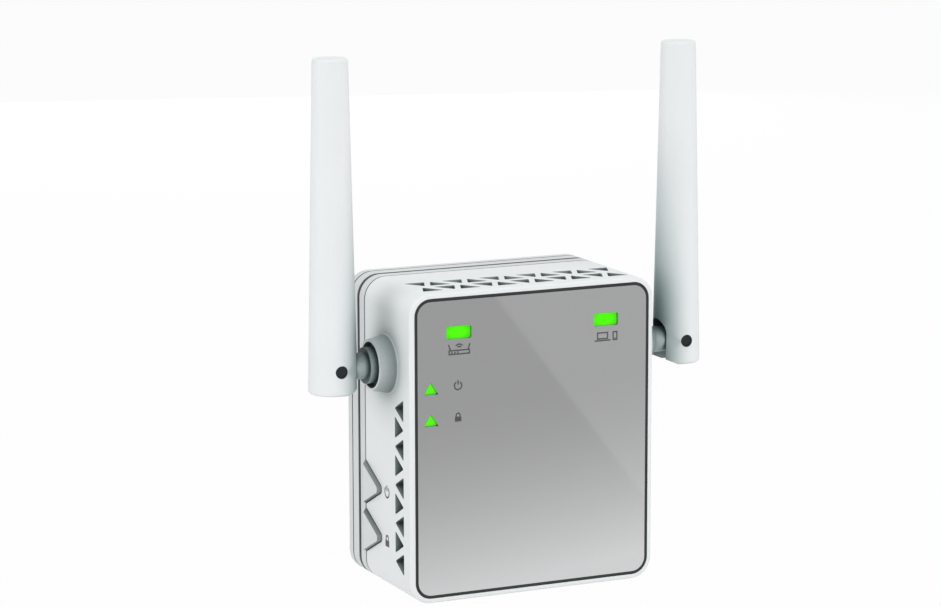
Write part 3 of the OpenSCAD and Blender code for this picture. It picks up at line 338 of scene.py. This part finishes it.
def moulded(name, colour, roughness, mottling, grain_scale,
            reach=PAINTED_SHADE_REACH, power=PAINTED_SHADE_POWER, shade_tint_powers=PLAIN_SHADE_TINT, own=False, bosses=False):
    """Moulded plastic: faint mottling, painted shade in recesses, uneven gloss and a fine eroded grain."""
    mat, tree, shader = new_material(name, colour, 0, roughness)
    fine = noise(tree, grain_scale, PLASTIC_GRAIN_LAYERS)
    skin = tint(tree, noise(tree, *PLASTIC_CLOUDS), shade(colour, 1 - mottling), colour)
    shaded = paint_hollow_shade(tree, skin, reach, power, shade_tint_powers, own, bosses)
    tree.links.new(shaded, shader.inputs["Base Color"])
    tree.links.new(stray(tree, fine, roughness, PLASTIC_STRAY), shader.inputs["Roughness"])
    shader.inputs["Specular IOR Level"].default_value = PLASTIC_GLOSS
    relief(tree, shader, fine, *PLASTIC_RELIEF)
    return mat


def metal(name, colour, roughness):
    """Metal with fine scratches and dull patches."""
    mat, tree, shader = new_material(name, colour, 1, roughness)
    scratch = noise(tree, *METAL_SCRATCHES)
    patched = tint(tree, noise(tree, *METAL_PATCHES), shade(colour, PATCH_SHADE), colour)
    tree.links.new(patched, shader.inputs["Base Color"])
    tree.links.new(stray(tree, scratch, roughness, METAL_STRAY), shader.inputs["Roughness"])
    relief(tree, shader, scratch, *METAL_RELIEF)
    return mat


def panel_silver():
    """Silver lacquer with fine flakes and painted shade in its recesses, under a clear gloss coat."""
    mat, tree, shader = new_material("panel_silver", SILVER, SILVER_METALLIC, LACQUER_ROUGHNESS[0])
    lacquer = tint(tree, noise(tree, *LACQUER_FLAKES), shade(SILVER, FLAKE_SHADE), SILVER)
    shaded = paint_hollow_shade(tree, lacquer, PAINTED_SHADE_REACH, PAINTED_SHADE_POWER, PLAIN_SHADE_TINT, own=True, bosses=False)
    gloss = remap(tree, noise(tree, *LACQUER_CLOUDS), NOISE_MIDDLE, LACQUER_ROUGHNESS)
    tree.links.new(shaded, shader.inputs["Base Color"])
    tree.links.new(gloss, shader.inputs["Roughness"])
    shader.inputs["Coat Weight"].default_value = COAT_WEIGHT
    shader.inputs["Coat Roughness"].default_value = COAT_ROUGHNESS
    return mat


def lamp_green():
    """A lit green window, deeper in colour towards its rim and dim behind the panel."""
    mat, tree, shader = new_material("lamp_green", shade(WINDOW_GREEN, WINDOW_SHADE), 0, WINDOW_ROUGHNESS)
    centre = (0.5, 0.5, 0.5)
    face_only = (1, 0, 1)
    place = place_on(tree, "Generated")
    from_centre = calculate_vector(tree, "SUBTRACT", place, centre)["Vector"]
    in_face = calculate_vector(tree, "MULTIPLY", from_centre, face_only)["Vector"]
    outwards = calculate_vector(tree, "LENGTH", in_face)["Value"]
    glow_colour = ramp(tree, outwards, list(zip(WINDOW_RIM_SPAN, (WINDOW_GREEN, WINDOW_RIM))))
    glow = remap(tree, axis(tree, place, "Y"), WINDOW_GLOW_DEPTH, WINDOW_GLOW)
    tree.links.new(glow_colour, shader.inputs["Emission Color"])
    tree.links.new(glow, shader.inputs["Emission Strength"])
    shader.inputs["Specular IOR Level"].default_value = WINDOW_GLOSS
    return mat


def board_green():
    """Solder mask with paler copper paths beneath."""
    mat, tree, shader = new_material("board_green", BOARD, 0, BOARD_ROUGHNESS)
    paths = tree.nodes.new("ShaderNodeTexBrick")
    paths.inputs["Scale"].default_value = BOARD_TILES
    paths.inputs["Mortar Size"].default_value = PATH_WIDTH
    paths.inputs["Color1"].default_value = (*BOARD, 1)
    paths.inputs["Color2"].default_value = (*shade(BOARD, TILE_SHADE), 1)
    paths.inputs["Mortar"].default_value = (*shade(BOARD, PATH_SHADE), 1)
    tree.links.new(place_on(tree, "Object"), paths.inputs["Vector"])
    tree.links.new(paths.outputs["Color"], shader.inputs["Base Color"])
    relief(tree, shader, noise(tree, *BOARD_GRAIN), *BOARD_RELIEF)
    return mat


# Materials by node

# The white pieces are one plastic whose materials differ only in painted shade: darker at the back, reaching
# farther on the antennas, deeper on the swivels and on the housing's bosses
rear_white_shaded = moulded("rear_white_shaded", REAR_SHADED_PLASTIC, **WHITE_FINISH)
housing_white_shaded = moulded("housing_white_shaded", WHITE_PLASTIC, **WHITE_FINISH,
                        shade_tint_powers=HOUSING_SHADE_TINT, own=True, bosses=True)
antenna_white_shaded = moulded("antenna_white_shaded", WHITE_PLASTIC, **WHITE_FINISH,
                        reach=ANTENNA_SHADE_REACH, power=ANTENNA_SHADE_POWER, shade_tint_powers=ANTENNA_SHADE_TINT)
swivel_white_shaded = moulded("swivel_white_shaded", WHITE_PLASTIC, **WHITE_FINISH,
                       power=SWIVEL_SHADE_POWER, shade_tint_powers=ANTENNA_SHADE_TINT)
silver = panel_silver()
rubber = moulded("gasket_dark", RUBBER, roughness=0.55, mottling=0.25, grain_scale=2600)
lamp = lamp_green()
steel = metal("steel", STEEL, roughness=0.32)
black_steel = metal("black_steel", BLACK_STEEL, roughness=0.45)
brass = metal("brass", BRASS, roughness=0.28)
black = moulded("black_plastic", BLACK_PLASTIC, roughness=0.45, mottling=0.3, grain_scale=2800)
board = board_green()
yellow = moulded("chip_yellow", CHIP_YELLOW, roughness=0.4, mottling=0.15, grain_scale=2200)
grey_lead = moulded("lead_grey", LEAD, roughness=0.5, mottling=0.2, grain_scale=2600)
ferrite = moulded("ferrite", FERRITE, roughness=0.6, mottling=0.35, grain_scale=1800)
blue = moulded("capacitor_blue", CAPACITOR, roughness=0.3, mottling=0.15, grain_scale=1500)
printed = moulded("mark_print", PRINT, roughness=0.5, mottling=0.15, grain_scale=4000)

FINISHES = {
    rear_white_shaded: ["rear_cover", "mid_frame", "power_key", "pairing_key"],
    housing_white_shaded: ["front_housing"],
    antenna_white_shaded: ["left_antenna", "right_antenna"],
    swivel_white_shaded: ["left_swivel", "right_swivel"],
    silver: ["front_panel"],
    rubber: ["panel_gasket", "ethernet_socket", "blade_carrier"],
    lamp: ["link_lens", "client_lens", "power_lens", "pairing_lens"],
    steel: ["case_screws", "board_screws", "supply_screws", "left_clip", "right_clip", "radio_shield",
            "crystal", "mains_fuse"],
    black_steel: ["left_hinge_pins", "right_hinge_pins"],
    brass: ["left_blade", "right_blade", "ethernet_contacts", "link_pins", "antenna_plugs",
            "left_element", "right_element"],
    black: ["power_switch", "pairing_switch", "reset_switch", "processor", "memory_chip", "lan_magnetics",
            "rectifier", "link_header"],
    board: ["main_board", "supply_board", "switch_board"],
    yellow: ["lamp_chips", "power_stem", "pairing_stem", "reset_stem", "transformer_winding", "suppressor"],
    grey_lead: ["left_lead", "right_lead", "left_feed", "right_feed"],
    ferrite: ["transformer_core", "choke"],
    blue: ["bulk_capacitors", "output_capacitor"],
}
for finish, names in FINISHES.items():
    for name in names:
        NODES[name].data.materials.clear()
        NODES[name].data.materials.append(finish)


# Printed marks, drawn as flat strokes in millimetres: u to the right, v up

STROKE = 0.3
INK_THICKNESS = 0.02 * MM


def bar(start, end):
    """A straight stroke."""
    (u0, v0), (u1, v1) = start, end
    length = math.hypot(u1 - u0, v1 - v0)
    across = (-(v1 - v0) / length * STROKE / 2, (u1 - u0) / length * STROKE / 2)
    return [(u0 + across[0], v0 + across[1]), (u0 - across[0], v0 - across[1]),
            (u1 - across[0], v1 - across[1]), (u1 + across[0], v1 + across[1])]


def block(low, high):
    """A filled rectangle."""
    return [low, (high[0], low[1]), high, (low[0], high[1])]


def arc(centre, radius, first, last, steps):
    """Quads along an arc from the first to the last angle, in degrees."""
    def point(step, r):
        a = math.radians(first + (last - first) * step / steps)
        return (centre[0] + r * math.cos(a), centre[1] + r * math.sin(a))
    inner = radius - STROKE / 2
    outer = radius + STROKE / 2
    return [[point(k, inner), point(k, outer), point(k + 1, outer), point(k + 1, inner)]
            for k in range(steps)]


def outline_box(low, high):
    """A rectangle of four strokes."""
    (left, bottom), (right, top) = low, high
    return [block(low, (right, bottom + STROKE)), block((left, top - STROKE), high),
            block((left, bottom + STROKE), (left + STROKE, top - STROKE)),
            block((right - STROKE, bottom + STROKE), (right, top - STROKE))]


def router_sign():
    """A flat box with three lights, two upright antennas and radio arcs between them."""
    half_w = 2.5
    bottom = -1.0
    top = 0.1
    light_low = -0.65
    light_side = 0.35
    antenna_foot = 2.05
    antenna_top = 1.25
    arc_centre = (0, 0.25)
    lights = [block((u, light_low), (u + light_side, light_low + light_side)) for u in (-1.9, -1.2, -0.5)]
    antennas = [bar((side * antenna_foot, top), (side * half_w, antenna_top)) for side in (-1, 1)]
    return [*outline_box((-half_w, bottom), (half_w, top)), *lights, *antennas,
            *arc(arc_centre, radius=0.5, first=40, last=140, steps=8),
            *arc(arc_centre, radius=1.0, first=40, last=140, steps=12)]


def device_sign():
    """An open notebook computer beside a telephone."""
    screen = outline_box((-2.2, -0.55), (0.5, 1.05))
    keyboard = block((-2.75, -0.95), (1.05, -0.65))
    telephone = outline_box((1.55, -0.95), (2.75, 1.05))
    button = block((1.95, -0.6), (2.35, -0.4))
    return [*screen, keyboard, *telephone, button]


def power_sign():
    """A broken circle with an upright stroke."""
    circle = arc((0, 0), radius=0.85, first=-240, last=60, steps=28)
    return [*circle, bar((0, 0.2), (0, 1.15))]


def lock_sign():
    """A padlock."""
    body_top = 0.1
    bow_radius = 0.45
    bow_height = 0.4
    body = block((-0.75, -0.95), (0.75, body_top))
    uprights = [bar((u, body_top), (u, bow_height)) for u in (-bow_radius, bow_radius)]
    return [body, *uprights, *arc((0, bow_height), bow_radius, first=0, last=180, steps=12)]


def make_mark(name, polygons, origin, right, up):
    """A printed mark on a face, as thin as ink."""
    points = []
    faces = []
    for polygon in polygons:
        faces.append(list(range(len(points), len(points) + len(polygon))))
        points += [origin + (u * right + v * up) * MM for u, v in polygon]
    mesh = bpy.data.meshes.new(name)
    mesh.from_pydata(points, [], faces)
    mesh.materials.append(printed)
    mark = bpy.data.objects.new(name, mesh)
    bpy.context.scene.collection.objects.link(mark)
    ink = mark.modifiers.new("ink", "SOLIDIFY")
    ink.thickness = INK_THICKNESS
    ink.offset = 0
    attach(mark, "case")


def middle(node):
    low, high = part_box(node)
    return (low + high) / 2


X = Vector((1, 0, 0))
Y = Vector((0, 1, 0))
Z = Vector((0, 0, 1))

# Distance of the marks from their lamps and keys, in metres
BELOW_LAMP = -3.7 * MM * Z
BESIDE_LAMP = 6.2 * MM * X
AHEAD_OF_KEY = -7.0 * MM * Y

# Size of the side marks beside those of the panel
SIDE_MARK_SIZE = 1.35

PANEL_MARKS = {
    "link": (router_sign, BELOW_LAMP),
    "client": (device_sign, BELOW_LAMP),
    "power": (power_sign, BESIDE_LAMP),
    "pairing": (lock_sign, BESIDE_LAMP),
}
for lens, (sign, offset) in PANEL_MARKS.items():
    spot = middle(lens + "_lens") + offset
    spot.y = PANEL_Y
    make_mark("mark_" + lens, sign(), spot, X, Z)

SIDE_MARKS = {"power_key": power_sign, "pairing_key": lock_sign}
for key, sign in SIDE_MARKS.items():
    spot = middle(key) + AHEAD_OF_KEY
    spot.x = -SIDE_X
    make_mark("mark_" + key, sign(), spot, -SIDE_MARK_SIZE * Y, SIDE_MARK_SIZE * Z)


# Floor, backdrop light, lamps and camera

def white_to_lens(tree, shader_socket, share):
    """Mixes plain white into a shader for what the camera, gloss and glass see of it."""
    path = tree.nodes.new("ShaderNodeLightPath")
    seen = path.outputs["Is Camera Ray"]
    for ray in ("Is Glossy Ray", "Is Transmission Ray"):
        seen = calculate(tree, "MAXIMUM", seen, path.outputs[ray])
    white_light = tree.nodes.new("ShaderNodeEmission")
    white_light.inputs["Strength"].default_value = PLAIN_WHITE
    mix = tree.nodes.new("ShaderNodeMixShader")
    tree.links.new(calculate(tree, "MULTIPLY", seen, share), mix.inputs["Fac"])
    tree.links.new(shader_socket, mix.inputs[1])
    tree.links.new(white_light.outputs["Emission"], mix.inputs[2])
    return mix.outputs["Shader"]


def plane(name, corners, mat):
    """A flat piece of the stage."""
    mesh = bpy.data.meshes.new(name)
    mesh.from_pydata(corners, [], [list(range(len(corners)))])
    mesh.materials.append(mat)
    obj = bpy.data.objects.new(name, mesh)
    bpy.context.scene.collection.objects.link(obj)
    return obj


def make_floor():
    mat, tree, shader = new_material("floor_white", FLOOR_COLOUR, 0, FLOOR_ROUGHNESS)
    surface = white_to_lens(tree, shader.outputs["BSDF"], FLOOR_WHITE)
    tree.links.new(surface, tree.nodes["Material Output"].inputs["Surface"])
    half = FLOOR_SIZE / 2
    corners = [(x * half, y * half, FLOOR_Z) for x, y in [(-1, -1), (1, -1), (1, 1), (-1, 1)]]
    plane("floor", corners, mat)


def make_world():
    world = bpy.data.worlds.new("studio")
    world.use_nodes = True
    bpy.context.scene.world = world
    tree = world.node_tree
    light = tree.nodes["Background"]
    light.inputs["Color"].default_value = (1, 1, 1, 1)
    light.inputs["Strength"].default_value = WORLD_LIGHT
    sky = white_to_lens(tree, light.outputs["Background"], SKY_WHITE)
    tree.links.new(sky, tree.nodes["World Output"].inputs["Surface"])


def make_lamp(name, place, target, size, power):
    data = bpy.data.lights.new(name, "AREA")
    data.shape = "DISK"
    data.size = size
    data.energy = power
    lamp_object = bpy.data.objects.new(name, data)
    bpy.context.scene.collection.objects.link(lamp_object)
    lamp_object.location = place
    aim = Vector(target) - Vector(place)
    lamp_object.rotation_euler = aim.to_track_quat("-Z", "Y").to_euler()
    lamp_object.visible_glossy = False


def card_material(name, dark):
    """A glow that brightens towards the object."""
    mat = bpy.data.materials.new(name)
    mat.use_nodes = True
    tree = mat.node_tree
    tree.nodes.remove(tree.nodes["Principled BSDF"])
    place = place_on(tree, "Object")
    along = calculate(tree, "MULTIPLY_ADD", axis(tree, place, "X"), CARD_TILT, axis(tree, place, "Y"))
    curve = calculate(tree, "POWER", remap(tree, along, CARD_FADE, (0, 1)), CARD_POWER)
    glow = tree.nodes.new("ShaderNodeEmission")
    tree.links.new(remap(tree, curve, (0, 1), (dark, CARD_BRIGHT)), glow.inputs["Strength"])
    tree.links.new(glow.outputs["Emission"], tree.nodes["Material Output"].inputs["Surface"])
    return mat


def make_card(name, left_end, left_near, height, dark):
    """A card that only gloss sees, with the x of its left edge at its end and near the object."""
    corners = [(left_end, CARD_END_Y, height), (CARD_HALF_W, CARD_END_Y, height),
               (CARD_HALF_W, CARD_NEAR_Y, height), (left_near, CARD_NEAR_Y, height)]
    card = plane(name, corners, card_material(name, dark))
    card.visible_camera = False
    card.visible_diffuse = False
    card.visible_shadow = False
    card.visible_transmission = False


def strip_edge(y):
    """The x of the pale card's left edge at a given y."""
    (x0, y0), (x1, y1) = STRIP_EDGE
    return x0 + (x1 - x0) / (y1 - y0) * (y - y0)


def make_cards():
    low = FLOOR_Z + CARD_LIFT
    make_card("grey_card", -CARD_HALF_W, -CARD_HALF_W, low, CARD_DARK)
    make_card("pale_card", strip_edge(CARD_END_Y), strip_edge(CARD_NEAR_Y), low + CARD_LIFT, STRIP_DARK)


def make_camera():
    data = bpy.data.cameras.new("camera")
    data.sensor_fit = "HORIZONTAL"
    data.sensor_width = SENSOR_WIDTH
    data.lens = CAMERA_LENS
    camera = bpy.data.objects.new("camera", data)
    bpy.context.scene.collection.objects.link(camera)
    camera.location = CAMERA_AT
    camera.rotation_euler = Euler([math.radians(a) for a in CAMERA_TURN], "XYZ")
    bpy.context.scene.camera = camera


bpy.context.scene.view_settings.view_transform = "Standard"
make_camera()
make_world()
make_floor()
make_cards()
for name, (place, target, size, power) in STUDIO_LAMPS.items():
    make_lamp(name, place, target, size, power)
